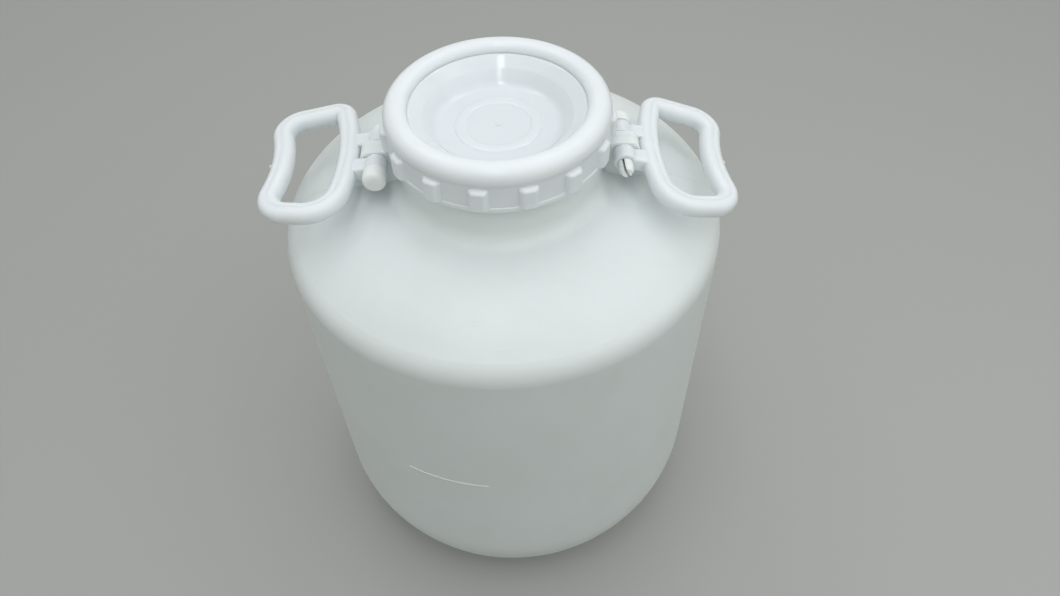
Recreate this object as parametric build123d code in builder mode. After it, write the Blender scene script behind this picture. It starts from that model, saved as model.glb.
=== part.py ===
from build123d import *
import math
import os

# Thirty-litre plastic fermenting drum with a screw closure and two swinging handles.
# Millimetres. The origin is the middle of the base on the floor, +Z is up, the handles lie along X.

# --- Drum body: a blow-moulded shell -----------------------------------------------------------
body_radius = 166.5  # outer face of the straight side
wall = 2.5  # shell thickness
shoulder_height = 334.6  # where the straight side ends
shoulder_radius = 20.0  # rounding between the side and the dome
shoulder_slope = 35.0  # slope of the dome where that rounding meets it, in degrees
dome_radius = 136.0  # arc of the dome, seen in section
corner_width = 60.0  # bottom rounding, measured inwards from the side
corner_height = 87.0  # bottom rounding, measured up from the floor
foot_width = 18.0  # flat ring that the drum stands on
base_rise = 9.0  # push-up in the middle of the base
base_fullness = 0.72  # share of that rise which is reached halfway in from the foot ring
neck_radius = 74.0
neck_wall = 4.5
neck_rise = 96.4  # the rim stands this far above the end of the straight side
neck_fillet = 12.0  # hollow rounding between the dome and the neck
rim_round = 1.0
mark_height = 198.5  # level mark: a short moulded line on the side
mark_angle = -120.0  # where it starts, anticlockwise from +X
mark_arc = 23.0
mark_width = 3.0
mark_reach = 0.6

# --- Screw thread, right-handed, one start ------------------------------------------------------
thread_lead = 10.0
thread_depth = 2.2
thread_root_width = 4.0
thread_crest_width = 2.4
thread_radial_gap = 0.5
thread_flank_gap = 0.35
thread_drop = 14.7  # from the rim down to the middle of the neck's ridge at its lower end
neck_thread_turns = 1.15
ring_thread_turns = 1.05
thread_bite = 0.6  # how far a ridge is rooted in its wall

# --- Inner lid with its dish, and the gasket under its flange ------------------------------------
gasket_thickness = 2.0
flange_thickness = 3.0
flange_overlap = 0.4  # the flange stops this far inside the neck's outer face
lid_wall = 2.2
flange_land = 8.5  # flat part of the flange between the neck's bore and the dish
dish_step_width = 8.2  # each of the dish's two slopes comes in this far
dish_step_depth = 6.0  # below the flange's top face
dish_depth = 16.0
dish_corner = 8.0  # rounding between the lower slope and the floor
dish_step_round = 5.0  # rounding between the two slopes
spigot_wall = 2.0
spigot_depth = 7.5
spigot_gap = 0.6  # between the spigot and the neck's bore
ripple_radius = 27.0  # low concentric ridge on the floor of the dish
ripple_height = 0.7
ripple_width = 8.0
gate_radius = 2.2  # moulding gate in the middle of the dish
gate_height = 0.6

# --- Screw ring ---------------------------------------------------------------------------------
ring_height = 33.0
ring_wall = 1.9  # outside the bore that carries the thread
roll_height = 13.0  # the fat rounded top
roll_outer_round = 9.0
roll_inner_round = 6.0
lip_thickness = 6.8
lip_setback = 1.5  # the flange shows this much between the rounded top and the dish
lip_gap = 0.2  # between the lip and the flange that it presses down
roll_overhang = 0.8  # the rounded top stands out this far over the skirt
roll_under_rise = 3.0  # its underside leans out over this height
roll_under_round = 5.0
hem_flare = 0.6
hem_height = 3.0
bead_reach = 0.8  # the snap bead reaches this far under the flange
bead_gap = 0.3
bead_rim_gap = 0.4
pocket_gap = 0.4
lug_count = 15
lug_angle = -4.0
lug_width = 15.0  # at its root
lug_crest_width = 10.0
lug_crest_round = 4.0
lug_reach = 4.2  # beyond the skirt
lug_root = 1.2  # how far a lug is rooted in the skirt
lug_bottom_gap = 1.5
lug_top_gap = 1.0
lug_round = 2.4

# --- Handle hinges and ears ---------------------------------------------------------------------
hinge_out = 14.9  # the hinge stands this far outside the neck
hinge_drop = 34.4  # below the rim
ear_width = 14.6
ear_radius = 8.0
ear_nose = 4.0  # the ear's round nose is centred this far outside the hinge
ear_round = 1.5
rest_reach = 22.0  # the ledge under the grip reaches this far out from the hinge
rest_rise = 2.0  # the ledge climbs this much on its way in to the ear
rest_foot = 2.0  # its outer face leans out this far on its way down to the dome
rest_gap = 0.3
pin_radius = 4.5
pin_running_gap = 0.08
pin_seat_gap = 0.05
pin_side_gap = 0.2

# --- Handle: a bent bar, drawn flat with the hinge axis along Y and the grip towards +X -----------
left_droop = 4.5  # the grips lie this far below level at rest, in degrees
right_droop = 14.0
stop_droop = 15.0  # where an arm would meet the ledge under it
bar_width = 15.4
bar_thickness = 13.4
bar_side_flat = 0.8  # the bar's sides stay flat over this much of its thickness
crown_groove_width = 1.4  # shallow groove along the middle of the bar's two faces
crown_groove_depth = 0.4
near_side = 29.2  # middle of the bar on the drum side of the loop, at the loop's ends
near_bow = 8.7  # how much nearer to the drum the middle of that side is
near_half_length = 56.5
far_side = 78.8
far_bow = 9.3
far_half_length = 47.4
loop_shift = -1.9  # the loop's middle lies this far along Y from the middle of the arms
near_front_corner = 22.0
near_rear_corner = 8.0
far_corner = 16.4
arm_gap = 0.4  # between an arm and the ear
arm_width = 12.8
arm_eye_radius = 8.0
arm_thickness = 10.6
arm_round = 1.6
gate_nub_radius = 1.6
gate_nub_length = 1.8

# --- Hinge pin ----------------------------------------------------------------------------------
head_radius = 8.5
head_length = 11.4
head_round = 4.0
tip_length = 10.0
barb_radius = 5.3
barb_length = 7.0
tip_round = 1.6
slot_width = 1.7
slot_depth = 16.0
slot_angle = -39.0  # turned about the pin, from square across the grip

cut_over = 1.0  # every cutter runs this far past the faces that it cuts

# --- Values that follow from the ones above -----------------------------------------------------
neck_top = shoulder_height + neck_rise
bore_radius = neck_radius - neck_wall
foot_outer = body_radius - corner_width
foot_inner = foot_outer - foot_width
flange_radius = neck_radius - flange_overlap
flange_bottom = neck_top + gasket_thickness
flange_top = flange_bottom + flange_thickness
spigot_radius = bore_radius - spigot_gap
dish_rim_radius = bore_radius - flange_land
dish_step_radius = dish_rim_radius - dish_step_width
dish_floor_radius = dish_step_radius - dish_step_width
thread_start = neck_top - thread_drop
thread_mid_width = (thread_root_width + thread_crest_width) / 2
lip_underside = flange_top + lip_gap
lip_radius = dish_rim_radius + lip_setback
ring_top = lip_underside + lip_thickness
ring_bottom = ring_top - ring_height
ring_bore = neck_radius + thread_depth + thread_radial_gap
skirt_radius = ring_bore + ring_wall
roll_radius = skirt_radius + roll_overhang
hinge_x = neck_radius + hinge_out
hinge_z = neck_top - hinge_drop
arm_inner = ear_width / 2 + arm_gap
arm_outer = arm_inner + arm_width
bar_round = (bar_thickness - bar_side_flat) / 2

os.makedirs("parts", exist_ok=True)


def save(piece, name):
    """Label a finished piece and write it to its own file."""
    piece.label = name
    export_step(piece, f"parts/{name}.step")


def round_corner(sketch, point, radius):
    """Round the corner of a sketch that lies nearest to a point."""
    fillet(sketch.vertices().sort_by_distance((*point, 0))[0], radius)


def drum_section(inset, neck_face, top):
    """Half section of the drum up to a height, its outer face moved inwards by inset."""
    slope = math.radians(shoulder_slope)
    edge_x = body_radius - shoulder_radius
    to_dome = dome_radius - shoulder_radius
    dome_x = edge_x - to_dome * math.sin(slope)
    dome_z = shoulder_height - to_dome * math.cos(slope)
    dome = dome_radius - inset
    neck_foot = dome_z + math.sqrt(dome**2 - (neck_face - dome_x) ** 2)
    neck_turn = math.degrees(math.atan2(neck_foot - dome_z, neck_face - dome_x))
    edge_turn = 90 - shoulder_slope
    with BuildSketch(Plane.XZ) as section:
        with BuildLine():
            middle = (0, base_rise + inset)
            halfway = (foot_inner / 2, base_fullness * base_rise + inset)
            ThreePointArc(middle, halfway, (foot_inner, inset))
            Line((foot_inner, inset), (foot_outer, inset))
            EllipticalCenterArc(
                (foot_outer, corner_height), corner_width - inset, corner_height - inset, -90, arc_size=90
            )
            Line((body_radius - inset, corner_height), (body_radius - inset, shoulder_height))
            CenterArc((edge_x, shoulder_height), shoulder_radius - inset, 0, edge_turn)
            CenterArc((dome_x, dome_z), dome, edge_turn, neck_turn - edge_turn)
            Polyline((neck_face, neck_foot), (neck_face, top), (0, top), middle)
        make_face()
        round_corner(section, (neck_face, neck_foot), neck_fillet)
    return section.sketch


def thread_ridge(root_radius, reach, height, turns):
    """A helical ridge on a round wall; reach is positive outwards and negative inwards."""
    bite = math.copysign(thread_bite, reach)
    path = Helix(thread_lead, turns * thread_lead, root_radius, center=(0, 0, height))
    with BuildPart() as ridge:
        with BuildSketch(Plane(origin=path @ 0, x_dir=(1, 0, 0), z_dir=path % 0)):
            with BuildLine():
                Polyline(
                    (-bite, -thread_root_width / 2),
                    (reach, -thread_crest_width / 2),
                    (reach, thread_crest_width / 2),
                    (-bite, thread_root_width / 2),
                    close=True,
                )
            make_face()
        sweep(path=path, is_frenet=True)
    return ridge.part


# --- Drum body ----------------------------------------------------------------------------------
with BuildPart() as ear:
    with BuildSketch(Plane.XZ):
        with BuildLine():
            droop = math.radians(stop_droop)
            underside = hinge_z - (rest_reach * math.sin(droop) + bar_thickness / 2) / math.cos(droop)
            ledge = underside - rest_gap
            in_neck = bore_radius + neck_wall / 2
            nose_x = hinge_x + ear_nose + ear_radius
            nose_top = (hinge_x + ear_nose, hinge_z + ear_radius)
            Line((in_neck, hinge_z + ear_radius), nose_top)
            RadiusArc(nose_top, (nose_x, hinge_z), ear_radius)
            Polyline(
                (nose_x, hinge_z),
                (nose_x, ledge + rest_rise),
                (hinge_x + rest_reach, ledge),
                (hinge_x + rest_reach + rest_foot, shoulder_height),
                (in_neck, shoulder_height),
                (in_neck, hinge_z + ear_radius),
            )
        make_face()
    extrude(amount=ear_width / 2, both=True)
    fillet(ear.faces().filter_by(Axis.Y).edges(), ear_round)
    with Locations((hinge_x, 0, hinge_z)):
        Cylinder(pin_radius + pin_running_gap, 2 * ear_width, rotation=(90, 0, 0), mode=Mode.SUBTRACT)

with BuildPart() as level_mark:
    with BuildSketch(Plane.XZ):
        with Locations((body_radius, mark_height)):
            Ellipse(mark_reach, mark_width / 2)
    revolve(axis=Axis.Z, revolution_arc=mark_arc)

neck_ridge = thread_ridge(neck_radius, thread_depth, thread_start, neck_thread_turns)

with BuildPart() as drum_body:
    revolve(drum_section(0, neck_radius, neck_top), axis=Axis.Z)
    with PolarLocations(0, 2):
        add(ear.part)
    add(level_mark.part, rotation=(0, 0, mark_angle))
    revolve(drum_section(wall, bore_radius, neck_top + cut_over), axis=Axis.Z, mode=Mode.SUBTRACT)
    fillet(drum_body.faces().filter_by(Axis.Z).sort_by(Axis.Z)[-1].edges(), rim_round)
    add(neck_ridge)
save(drum_body.part, "drum_body")

# --- Inner lid and gasket -----------------------------------------------------------------------
dish_floor = flange_top - dish_depth
dish_step = flange_top - dish_step_depth
with BuildPart() as lid_dish:
    with BuildSketch(Plane.XZ) as lid_section:
        with BuildLine():
            Polyline(
                (0, dish_floor),
                (dish_floor_radius, dish_floor),
                (dish_step_radius, dish_step),
                (dish_rim_radius, flange_top),
                (flange_radius, flange_top),
                (flange_radius, flange_bottom),
                (spigot_radius, flange_bottom),
                (spigot_radius, flange_bottom - spigot_depth),
                (spigot_radius - spigot_wall, flange_bottom - spigot_depth),
                (spigot_radius - spigot_wall, flange_bottom),
                (dish_rim_radius + lid_wall, flange_bottom),
                (dish_step_radius + lid_wall, dish_step - lid_wall),
                (dish_floor_radius + lid_wall, dish_floor - lid_wall),
                (0, dish_floor - lid_wall),
                close=True,
            )
        make_face()
        round_corner(lid_section, (dish_floor_radius, dish_floor), dish_corner)
        round_corner(lid_section, (dish_step_radius, dish_step), dish_step_round)
        round_corner(lid_section, (dish_rim_radius, flange_top), lid_wall)
        round_corner(
            lid_section, (dish_floor_radius + lid_wall, dish_floor - lid_wall), dish_corner + lid_wall
        )
        with Locations((ripple_radius, dish_floor)):
            Ellipse(ripple_width / 2, ripple_height)
        with Locations((gate_radius / 2, dish_floor)):
            Rectangle(gate_radius, 2 * gate_height)
    revolve(axis=Axis.Z)
save(lid_dish.part, "lid_dish")

with BuildPart() as sealing_gasket:
    with BuildSketch(Plane.XY.offset(neck_top)):
        Circle(flange_radius - bead_reach - bead_gap)
        Circle(spigot_radius + pocket_gap, mode=Mode.SUBTRACT)
    extrude(amount=gasket_thickness)
save(sealing_gasket.part, "sealing_gasket")

# --- Screw ring ---------------------------------------------------------------------------------
bead_radius = flange_radius - bead_reach
bead_top = flange_bottom - bead_gap
bead_bottom = neck_top + bead_rim_gap
rim_clear = neck_radius + bead_rim_gap
pocket_radius = flange_radius + pocket_gap
roll_bottom = ring_top - roll_height
hem_top = ring_bottom + hem_height
with BuildPart() as lug:
    lug_low = ring_bottom + lug_bottom_gap
    lug_rise = roll_bottom - lug_top_gap - lug_low
    with BuildSketch(Plane.XY.offset(lug_low)) as lug_plan:
        with BuildLine():
            Polyline(
                (skirt_radius - lug_root, -lug_width / 2),
                (skirt_radius + lug_reach, -lug_crest_width / 2),
                (skirt_radius + lug_reach, lug_crest_width / 2),
                (skirt_radius - lug_root, lug_width / 2),
                close=True,
            )
        make_face()
        outer_corners = lug_plan.vertices().group_by(Axis.X)[-1]
        fillet(outer_corners, lug_crest_round)
    extrude(amount=lug_rise)
    ends = lug.faces().filter_by(Axis.Z).edges()
    fillet(ends - ends.group_by(Axis.X)[0], lug_round)

ring_ridge = thread_ridge(
    ring_bore, -thread_depth, thread_start - thread_mid_width - thread_flank_gap, ring_thread_turns
)

with BuildPart() as screw_ring:
    with BuildSketch(Plane.XZ) as ring_section:
        with BuildLine():
            Polyline(
                (ring_bore, ring_bottom),
                (skirt_radius + hem_flare, ring_bottom),
                (skirt_radius + hem_flare, hem_top),
                (skirt_radius, hem_top + hem_flare),
                (skirt_radius, roll_bottom),
                (roll_radius, roll_bottom + roll_under_rise),
                (roll_radius, ring_top),
                (lip_radius, ring_top),
                (lip_radius, lip_underside),
                (pocket_radius, lip_underside),
                (pocket_radius, bead_top),
                (bead_radius, bead_top),
                (bead_radius, bead_bottom),
                (rim_clear, bead_bottom),
                (ring_bore, bead_bottom - (ring_bore - rim_clear)),
                close=True,
            )
        make_face()
        round_corner(ring_section, (roll_radius, ring_top), roll_outer_round)
        round_corner(ring_section, (roll_radius, roll_bottom + roll_under_rise), roll_under_round)
        round_corner(ring_section, (lip_radius, ring_top), roll_inner_round)
    revolve(axis=Axis.Z)
    with PolarLocations(0, lug_count, start_angle=lug_angle):
        add(lug.part)
    add(ring_ridge)
save(screw_ring.part, "screw_ring")

# --- Handles ------------------------------------------------------------------------------------
bar_middle = near_side - near_bow
with BuildPart() as handle_arm:
    with BuildSketch(Plane.XZ.offset(-arm_outer)):
        Circle(arm_eye_radius)
        Rectangle(bar_middle, arm_thickness, align=(Align.MIN, Align.CENTER))
    extrude(amount=arm_width)
    fillet(handle_arm.faces().filter_by(Axis.Y).edges(), arm_round)

with BuildPart() as flat_handle:
    with BuildSketch() as loop_plan:
        with BuildLine():
            near_front = (near_side, loop_shift - near_half_length)
            near_rear = (near_side, loop_shift + near_half_length)
            far_front = (far_side, loop_shift - far_half_length)
            far_rear = (far_side, loop_shift + far_half_length)
            ThreePointArc(near_front, (near_side - near_bow, loop_shift), near_rear)
            ThreePointArc(far_front, (far_side - far_bow, loop_shift), far_rear)
            Line(near_front, far_front)
            Line(near_rear, far_rear)
        make_face()
        round_corner(loop_plan, near_front, near_front_corner)
        round_corner(loop_plan, near_rear, near_rear_corner)
        round_corner(loop_plan, far_front, far_corner)
        round_corner(loop_plan, far_rear, far_corner)
        middle_line = loop_plan.face()
        offset(middle_line, bar_width / 2, kind=Kind.ARC)
        offset(middle_line, -bar_width / 2, kind=Kind.INTERSECTION, mode=Mode.SUBTRACT)
    extrude(amount=bar_thickness / 2, both=True)
    fillet(flat_handle.faces().filter_by(Axis.Z).edges(), bar_round)
    groove_floor = bar_thickness / 2 - crown_groove_depth
    groove_cut = crown_groove_depth + cut_over
    for groove_start in (groove_floor, -groove_floor - groove_cut):
        with BuildSketch(Plane.XY.offset(groove_start)):
            offset(middle_line, crown_groove_width / 2, kind=Kind.ARC)
            offset(middle_line, -crown_groove_width / 2, kind=Kind.INTERSECTION, mode=Mode.SUBTRACT)
        extrude(amount=groove_cut, mode=Mode.SUBTRACT)
    add(handle_arm.part)
    mirror(handle_arm.part, about=Plane.XZ)
    bore_length = 2 * (arm_outer + cut_over)
    Cylinder(pin_radius + pin_seat_gap, bore_length, rotation=(90, 0, 0), mode=Mode.SUBTRACT)
    with BuildSketch(Plane.YZ.offset(far_side - far_bow)):
        with Locations((loop_shift, 0)):
            Circle(gate_nub_radius)
    extrude(amount=bar_width / 2 + gate_nub_length)

# --- Hinge pins ---------------------------------------------------------------------------------
head_seat = arm_outer + pin_side_gap
with BuildPart() as flat_pin:
    with BuildSketch() as pin_section:
        with BuildLine():
            Polyline(
                (0, -head_seat - tip_length),
                (barb_radius - tip_round, -head_seat - tip_length),
                (barb_radius, -head_seat - barb_length),
                (barb_radius, -head_seat),
                (pin_radius, -head_seat),
                (pin_radius, head_seat),
                (head_radius, head_seat),
                (head_radius, head_seat + head_length),
                (0, head_seat + head_length),
                close=True,
            )
        make_face()
        round_corner(pin_section, (head_radius, head_seat + head_length), head_round)
    revolve(axis=Axis.Y)
    with Locations((0, -head_seat - tip_length, 0)):
        slot_height = 2 * (barb_radius + cut_over)
        Box(slot_width, 2 * slot_depth, slot_height, rotation=(0, slot_angle, 0), mode=Mode.SUBTRACT)

# The right side is placed as drawn. The left handle is its mirror image, which is the same moulding
# turned over, and the left pin goes in from the other end.
at_hinge = Pos(hinge_x, 0, hinge_z)
right_handle = at_hinge * Rot(0, right_droop, 0) * flat_handle.part
right_pin = at_hinge * Rot(0, right_droop, 0) * flat_pin.part
left_handle = (at_hinge * Rot(0, left_droop, 0) * flat_handle.part).mirror(Plane.YZ)
left_pin = Rot(0, 0, 180) * at_hinge * Rot(0, left_droop, 0) * flat_pin.part
save(right_handle, "right_handle")
save(left_handle, "left_handle")
save(right_pin, "right_hinge_pin")
save(left_pin, "left_hinge_pin")
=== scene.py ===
import math

import bpy
from mathutils import Matrix, Vector

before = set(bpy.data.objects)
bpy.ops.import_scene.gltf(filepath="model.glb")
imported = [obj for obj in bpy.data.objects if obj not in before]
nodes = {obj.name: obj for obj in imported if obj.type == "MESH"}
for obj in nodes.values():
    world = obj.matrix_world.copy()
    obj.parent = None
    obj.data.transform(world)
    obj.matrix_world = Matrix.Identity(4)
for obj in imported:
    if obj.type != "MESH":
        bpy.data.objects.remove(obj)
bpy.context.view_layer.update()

# ------------------------------------------------------------------ the plastics' common grain
CLOUD_SCALE = 11.0  # slow cloudiness of the colour
CLOUD_RANGE = (0.32, 0.70)
ROUGH_SCALE = 30.0  # patches a little shinier or duller
ROUGH_RANGE = (0.3, 0.7)
ROUGH_DOWN, ROUGH_UP = 0.03, 0.04
GRAIN_SCALE = 900.0  # fine grain of the mould's surface
WAVE_SCALE = 16.0  # slow waviness of a blown or shrunk wall
SCUFF_TURN = (0.3, 0.2, 0.9)
SCUFF_STRETCH = (1.0, 9.0, 3.0)
SCUFF_SCALE = 40.0
SCUFF_RANGE = (0.70, 0.78)
SCUFF_TINT = 0.25
SCUFF_SHADE = 0.9  # a scuff's colour, as a part of the deep colour
SEAM_HEIGHT = 0.0003
GLOW_RADIUS = (1.0, 0.95, 0.85)
PLASTIC_IOR = 1.5


# ------------------------------------------------------------------ helpers
def tree_of(material):
    """Empty a material's node tree and return it."""
    material.use_nodes = True
    tree = material.node_tree
    tree.nodes.clear()
    return tree


def add(tree, kind, **inputs):
    """Add a shader node and set its sockets by name; a node output is linked, anything else is a value."""
    node = tree.nodes.new(kind)
    for name, value in inputs.items():
        if isinstance(value, bpy.types.NodeSocket):
            tree.links.new(value, node.inputs[name])
        else:
            node.inputs[name].default_value = value
    return node


def noise(tree, where, scale, detail, rough):
    node = add(tree, "ShaderNodeTexNoise", Vector=where, Scale=scale, Detail=detail, Roughness=rough)
    return node.outputs["Fac"]


def ramp(tree, value, low, high, to_low, to_high):
    """Map low..high to to_low..to_high."""
    limits = {"From Min": low, "From Max": high, "To Min": to_low, "To Max": to_high}
    return add(tree, "ShaderNodeMapRange", Value=value, **limits).outputs["Result"]


def mix(tree, fac, a, b):
    """Mix two colours; each may be a node output or a value."""
    node = tree.nodes.new("ShaderNodeMix")
    node.data_type = "RGBA"
    for name, value in (("Factor", fac), ("A", a), ("B", b)):
        socket = [s for s in node.inputs if s.name == name and s.enabled][0]
        if isinstance(value, bpy.types.NodeSocket):
            tree.links.new(value, socket)
        else:
            socket.default_value = value
    return [s for s in node.outputs if s.enabled][0]


def maths(tree, operation, a, b=None):
    """Add a maths node on one or two values."""
    node = tree.nodes.new("ShaderNodeMath")
    node.operation = operation
    tree.links.new(a, node.inputs[0])
    if isinstance(b, bpy.types.NodeSocket):
        tree.links.new(b, node.inputs[1])
    elif b is not None:
        node.inputs[1].default_value = b
    return node.outputs[0]


def near_plane(tree, where, normal, offset, width):
    """One on a thin band either side of a plane, and nothing elsewhere: where a mould's halves met."""
    dot = tree.nodes.new("ShaderNodeVectorMath")
    dot.operation = "DOT_PRODUCT"
    tree.links.new(where, dot.inputs[0])
    dot.inputs[1].default_value = normal
    side = maths(tree, "SUBTRACT", dot.outputs["Value"], offset)
    return ramp(tree, maths(tree, "ABSOLUTE", side), 0.0, width, 1.0, 0.0)


def bumped(tree, height, distance, below=None):
    """Raise a surface by a height map, on top of the bump below it."""
    under = {} if below is None else {"Normal": below}
    return add(tree, "ShaderNodeBump", Height=height, Strength=1.0, Distance=distance, **under).outputs[0]


def plastic(name, colour, deep, rough, glow, glow_depth, grain, wave=0.0, seam=None, scuffs=0.0):
    """Moulded polyethylene: cloudy colour, fine grain, slow waviness and soft light inside."""
    material = bpy.data.materials.new(name)
    tree = tree_of(material)
    where = add(tree, "ShaderNodeTexCoord").outputs["Object"]
    cloud = ramp(tree, noise(tree, where, CLOUD_SCALE, 4.0, 0.6), *CLOUD_RANGE, 0.0, 1.0)
    tint = mix(tree, cloud, (*deep, 1), (*colour, 1))
    patches = noise(tree, where, ROUGH_SCALE, 2.0, 0.5)
    shine = ramp(tree, patches, *ROUGH_RANGE, rough - ROUGH_DOWN, rough + ROUGH_UP)
    bump = bumped(tree, noise(tree, where, GRAIN_SCALE, 3.0, 0.6), grain)
    if wave:
        bump = bumped(tree, noise(tree, where, WAVE_SCALE, 2.0, 0.4), wave, bump)
    if scuffs:
        stretch = add(tree, "ShaderNodeMapping", Vector=where, Rotation=SCUFF_TURN, Scale=SCUFF_STRETCH)
        marks = noise(tree, stretch.outputs[0], SCUFF_SCALE, 2.0, 0.5)
        scratch = ramp(tree, marks, *SCUFF_RANGE, 0.0, 1.0)
        bump = bumped(tree, scratch, scuffs, bump)
        worn = ramp(tree, scratch, 0.0, 1.0, 0.0, SCUFF_TINT)
        tint = mix(tree, worn, tint, (*[c * SCUFF_SHADE for c in deep], 1))
    if seam:
        bump = bumped(tree, near_plane(tree, where, *seam), SEAM_HEIGHT, bump)
    sockets = {
        "Base Color": tint,
        "Roughness": shine,
        "Normal": bump,
        "Subsurface Weight": glow,
        "Subsurface Scale": glow_depth,
        "Subsurface Radius": GLOW_RADIUS,
        "IOR": PLASTIC_IOR,
    }
    shader = add(tree, "ShaderNodeBsdfPrincipled", **sockets)
    add(tree, "ShaderNodeOutputMaterial", Surface=shader.outputs[0])
    return material


def link(item):
    bpy.context.scene.collection.objects.link(item)


def softbox(name, place, aim, width, depth, watts, colour=(1, 1, 1)):
    """A rectangular lamp at a place, turned to a point."""
    lamp = bpy.data.lights.new(name, "AREA")
    lamp.shape = "RECTANGLE"
    lamp.size = width
    lamp.size_y = depth
    lamp.energy = watts
    lamp.color = colour
    holder = bpy.data.objects.new(name, lamp)
    link(holder)
    turn = (Vector(aim) - Vector(place)).to_track_quat("-Z", "Y").to_matrix().to_4x4()
    holder.matrix_world = Matrix.Translation(place) @ turn


# ------------------------------------------------------------------ camera, found from the photo's floor tiles
EYE_AT = (0.0126, -0.4691, 0.7857)
EYE_YAW, EYE_PITCH, EYE_ROLL = -0.7, 40.10, -1.782  # degrees
camera = bpy.data.cameras.new("camera")
camera.sensor_width = 36.0
camera.lens = 28.095
eye = bpy.data.objects.new("camera", camera)
link(eye)
bpy.context.scene.camera = eye
eye.matrix_world = (
    Matrix.Translation(EYE_AT)
    @ Matrix.Rotation(math.radians(EYE_YAW), 4, "Z")
    @ Matrix.Rotation(math.radians(EYE_PITCH), 4, "X")
    @ Matrix.Rotation(math.radians(EYE_ROLL), 4, "Z")
)

# ------------------------------------------------------------------ materials
ACROSS = (0.0, 1.0, 0.0)  # the drum's mould parts on the plane through both handles
SEAM_WIDTH = 0.0009

drum_plastic = plastic(
    "drum_plastic", colour=(0.73, 0.785, 0.79), deep=(0.695, 0.75, 0.74), rough=0.46,
    glow=0.35, glow_depth=0.012, grain=0.00004,
    wave=0.0007, seam=(ACROSS, 0.0, SEAM_WIDTH), scuffs=0.00004,
)
ring_plastic = plastic(
    "ring_plastic", colour=(0.745, 0.78, 0.81), deep=(0.715, 0.755, 0.78), rough=0.32,
    glow=0.4, glow_depth=0.005, grain=0.000008,
)
lid_plastic = plastic(
    "lid_plastic", colour=(0.715, 0.755, 0.79), deep=(0.685, 0.73, 0.76), rough=0.13,
    glow=0.4, glow_depth=0.005, grain=0.00001, wave=0.0002,
)
handle_plastic = plastic(
    "handle_plastic", colour=(0.725, 0.76, 0.79), deep=(0.70, 0.74, 0.765), rough=0.32,
    glow=0.8, glow_depth=0.009, grain=0.000008,
)
pin_plastic = plastic(
    "pin_plastic", colour=(0.78, 0.81, 0.81), deep=(0.76, 0.79, 0.78), rough=0.36,
    glow=0.4, glow_depth=0.004, grain=0.00001,
)
gasket_rubber = plastic(
    "gasket_rubber", colour=(0.72, 0.72, 0.68), deep=(0.68, 0.68, 0.64), rough=0.6,
    glow=0.1, glow_depth=0.003, grain=0.00004,
)
for name, material in (
    ("drum_body", drum_plastic),
    ("screw_ring", ring_plastic),
    ("lid_dish", lid_plastic),
    ("sealing_gasket", gasket_rubber),
    ("left_handle", handle_plastic),
    ("right_handle", handle_plastic),
    ("left_hinge_pin", pin_plastic),
    ("right_hinge_pin", pin_plastic),
):
    nodes[name].data.materials.clear()
    nodes[name].data.materials.append(material)

# ------------------------------------------------------------------ floor
FLOOR_HALF = 40
FLOOR_SEEN = (0.37, 0.38, 0.365, 1)
FLOOR_BOUNCE = (0.17, 0.18, 0.16, 1)  # what the floor sends up to the drum, darker than it looks
FLOOR_ROUGH = 0.75

corners = [(x * FLOOR_HALF, y * FLOOR_HALF, 0) for x, y in ((-1, -1), (1, -1), (1, 1), (-1, 1))]
mesh = bpy.data.meshes.new("floor")
mesh.from_pydata(corners, [], [(0, 1, 2, 3)])
floor = bpy.data.objects.new("floor", mesh)
link(floor)
floor_paint = bpy.data.materials.new("floor_paint")
tree = tree_of(floor_paint)
rays = add(tree, "ShaderNodeLightPath")
seen = rays.outputs["Is Camera Ray"]
for kind in ("Is Glossy Ray", "Is Transmission Ray"):
    seen = maths(tree, "MAXIMUM", seen, rays.outputs[kind])
floor_colour = mix(tree, seen, FLOOR_BOUNCE, FLOOR_SEEN)
shader = add(tree, "ShaderNodeBsdfPrincipled", **{"Base Color": floor_colour, "Roughness": FLOOR_ROUGH})
add(tree, "ShaderNodeOutputMaterial", Surface=shader.outputs[0])
mesh.materials.append(floor_paint)

# ------------------------------------------------------------------ room light, and lamps
SKY_LOW = (0.77, 0.77, 0.71, 1)
SKY_TOP = (0.51, 0.52, 0.53, 1)

world = bpy.data.worlds.new("world")
bpy.context.scene.world = world
world.use_nodes = True
tree = world.node_tree
up = add(tree, "ShaderNodeSeparateXYZ", Vector=add(tree, "ShaderNodeTexCoord").outputs["Generated"])
height = ramp(tree, up.outputs["Z"], 0.0, 1.0, 0.0, 1.0)
background = tree.nodes["Background"]
tree.links.new(mix(tree, height, SKY_LOW, SKY_TOP), background.inputs["Color"])
background.inputs["Strength"].default_value = 1.0

softbox("key", (0.0, -0.5, 2.3), (0, -0.1, 0.2), 2.8, 2.4, 9.4, (0.94, 0.97, 1.0))
softbox("side", (0.9, -0.5, 1.2), (0, -0.1, 0.3), 1.3, 1.3, 3.6)
softbox("back", (0.0, 1.2, 2.2), (0, 0, 0.3), 1.6, 1.0, 4, (0.95, 0.97, 1.0))
softbox("tube", (-0.09, -0.58, 1.6), (-0.09, -0.4, 0.0), 0.08, 1.45, 3.0)
softbox("strip_left", (-0.5, 0.6, 1.7), (-0.2, 0.2, 0.4), 0.9, 0.1, 1.3)
softbox("strip_right", (0.5, 0.6, 1.7), (0.2, 0.2, 0.4), 0.9, 0.1, 1.3)

bpy.context.scene.view_settings.view_transform = "Standard"
